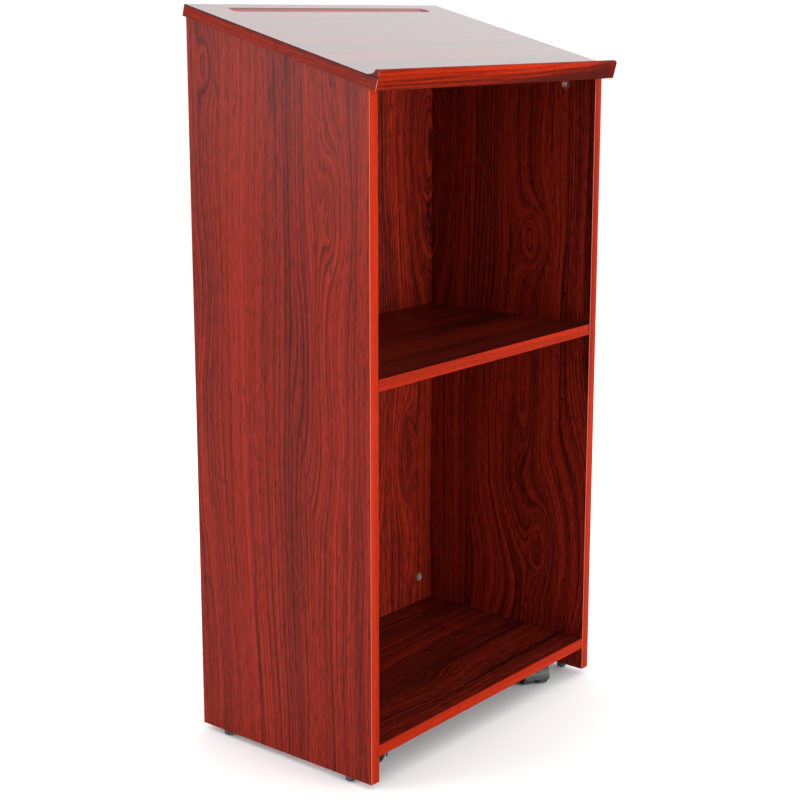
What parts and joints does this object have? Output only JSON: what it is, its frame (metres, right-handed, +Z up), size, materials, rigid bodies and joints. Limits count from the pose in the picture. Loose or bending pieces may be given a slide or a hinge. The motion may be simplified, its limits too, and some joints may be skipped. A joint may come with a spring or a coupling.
{
  "type": "lectern podium",
  "caption": "Floor-standing lectern with a sloped top, pen groove, front stop rail, loose adjustable shelf, case open towards the speaker, and swivel casters.",
  "frame": {"origin": "on the floor, under the middle of the lectern's bounding box", "axes": "+Z up; +Y away from the speaker, towards the audience; +X to the speaker's right"},
  "size_m": [0.608, 0.3818, 1.1579],
  "materials": {
    "laminate_upright": "satin mahogany laminate, vertical grain",
    "laminate_level": "satin mahogany laminate, grain along the width",
    "laminate_desk": "satin mahogany laminate, grain along the width",
    "laminate_rail": "satin mahogany laminate, grain along the width",
    "edge_upright": "satin mahogany edge band, vertical grain",
    "edge_level": "satin mahogany edge band, grain along the width",
    "edge_desk_end": "satin mahogany edge band, grain down the slope",
    "cam_zinc": "die-cast zinc",
    "nickel_steel": "nickel plated",
    "zinc_steel": "bright zinc plated",
    "black_plastic": "fine moulded texture",
    "black_nylon": "satin",
    "beech": "raw fluted dowel"
  },
  "bodies": {
    "case": {"left_side_panel": "laminate_upright", "right_side_panel": "laminate_upright", "back_panel": "laminate_upright", "bottom_board": "laminate_level", "top_board": "laminate_desk", "stop_rail": "laminate_rail", "left_front_edge_band": "edge_upright", "right_front_edge_band": "edge_upright", "left_back_edge_band": "edge_upright", "right_back_edge_band": "edge_upright", "bottom_front_edge_band": "edge_level", "top_back_edge_band": "edge_level", "top_left_edge_band": "edge_desk_end", "top_right_edge_band": "edge_desk_end", "shelf_clips": "nickel_steel", "floor_glides": "black_plastic", "caster_plates": "zinc_steel", "caster_swivel_pins": "zinc_steel", "caster_screws": "zinc_steel", "top_cam_locks": "cam_zinc", "top_cam_bolts": "zinc_steel", "top_dowels": "beech", "back_cam_locks": "cam_zinc", "back_cam_bolts": "zinc_steel", "back_dowels": "beech", "bottom_cam_locks": "cam_zinc", "bottom_cam_bolts": "zinc_steel", "bottom_dowels": "beech"},
    "shelf": {"adjustable_shelf": "laminate_level", "shelf_front_edge_band": "edge_level"},
    "caster_front_left_fork": {"caster_front_left_hood": "black_plastic", "caster_front_left_axle": "zinc_steel"},
    "caster_front_left_wheel_a": {"caster_front_left_wheel_a": "black_nylon"},
    "caster_front_left_wheel_b": {"caster_front_left_wheel_b": "black_nylon"},
    "caster_front_right_fork": {"caster_front_right_hood": "black_plastic", "caster_front_right_axle": "zinc_steel"},
    "caster_front_right_wheel_a": {"caster_front_right_wheel_a": "black_nylon"},
    "caster_front_right_wheel_b": {"caster_front_right_wheel_b": "black_nylon"},
    "caster_back_left_fork": {"caster_back_left_hood": "black_plastic", "caster_back_left_axle": "zinc_steel"},
    "caster_back_left_wheel_a": {"caster_back_left_wheel_a": "black_nylon"},
    "caster_back_left_wheel_b": {"caster_back_left_wheel_b": "black_nylon"},
    "caster_back_right_fork": {"caster_back_right_hood": "black_plastic", "caster_back_right_axle": "zinc_steel"},
    "caster_back_right_wheel_a": {"caster_back_right_wheel_a": "black_nylon"},
    "caster_back_right_wheel_b": {"caster_back_right_wheel_b": "black_nylon"}
  },
  "joints": [
    {"name": "shelf_lift", "type": "slide", "parent": "case", "child": "shelf", "axis": [0, 0, 1], "range_m": [0, 0.41]},
    {"name": "caster_front_left_swivel", "type": "hinge", "parent": "case", "child": "caster_front_left_fork", "pos_m": [-0.202, -0.10913, 0.04], "axis": [0, 0, 1], "continuous": true},
    {"name": "caster_front_left_wheel_a_spin", "type": "hinge", "parent": "caster_front_left_fork", "child": "caster_front_left_wheel_a", "pos_m": [-0.21228, -0.09687, 0.02], "axis": [-0.766, -0.6428, 0], "continuous": true},
    {"name": "caster_front_left_wheel_b_spin", "type": "hinge", "parent": "caster_front_left_fork", "child": "caster_front_left_wheel_b", "pos_m": [-0.21228, -0.09687, 0.02], "axis": [-0.766, -0.6428, 0], "continuous": true},
    {"name": "caster_front_right_swivel", "type": "hinge", "parent": "case", "child": "caster_front_right_fork", "pos_m": [0.202, -0.10913, 0.04], "axis": [0, 0, 1], "continuous": true},
    {"name": "caster_front_right_wheel_a_spin", "type": "hinge", "parent": "caster_front_right_fork", "child": "caster_front_right_wheel_a", "pos_m": [0.1926, -0.12207, 0.02], "axis": [0.809, -0.5878, 0], "continuous": true},
    {"name": "caster_front_right_wheel_b_spin", "type": "hinge", "parent": "caster_front_right_fork", "child": "caster_front_right_wheel_b", "pos_m": [0.1926, -0.12207, 0.02], "axis": [0.809, -0.5878, 0], "continuous": true},
    {"name": "caster_back_left_swivel", "type": "hinge", "parent": "case", "child": "caster_back_left_fork", "pos_m": [-0.202, 0.11487, 0.04], "axis": [0, 0, 1], "continuous": true},
    {"name": "caster_back_left_wheel_a_spin", "type": "hinge", "parent": "caster_back_left_fork", "child": "caster_back_left_wheel_a", "pos_m": [-0.19282, 0.10176, 0.02], "axis": [0.8192, 0.5736, 0], "continuous": true},
    {"name": "caster_back_left_wheel_b_spin", "type": "hinge", "parent": "caster_back_left_fork", "child": "caster_back_left_wheel_b", "pos_m": [-0.19282, 0.10176, 0.02], "axis": [0.8192, 0.5736, 0], "continuous": true},
    {"name": "caster_back_right_swivel", "type": "hinge", "parent": "case", "child": "caster_back_right_fork", "pos_m": [0.202, 0.11487, 0.04], "axis": [0, 0, 1], "continuous": true},
    {"name": "caster_back_right_wheel_a_spin", "type": "hinge", "parent": "caster_back_right_fork", "child": "caster_back_right_wheel_a", "pos_m": [0.20951, 0.129, 0.02], "axis": [-0.8829, 0.4695, 0], "continuous": true},
    {"name": "caster_back_right_wheel_b_spin", "type": "hinge", "parent": "caster_back_right_fork", "child": "caster_back_right_wheel_b", "pos_m": [0.20951, 0.129, 0.02], "axis": [-0.8829, 0.4695, 0], "continuous": true}
  ]
}
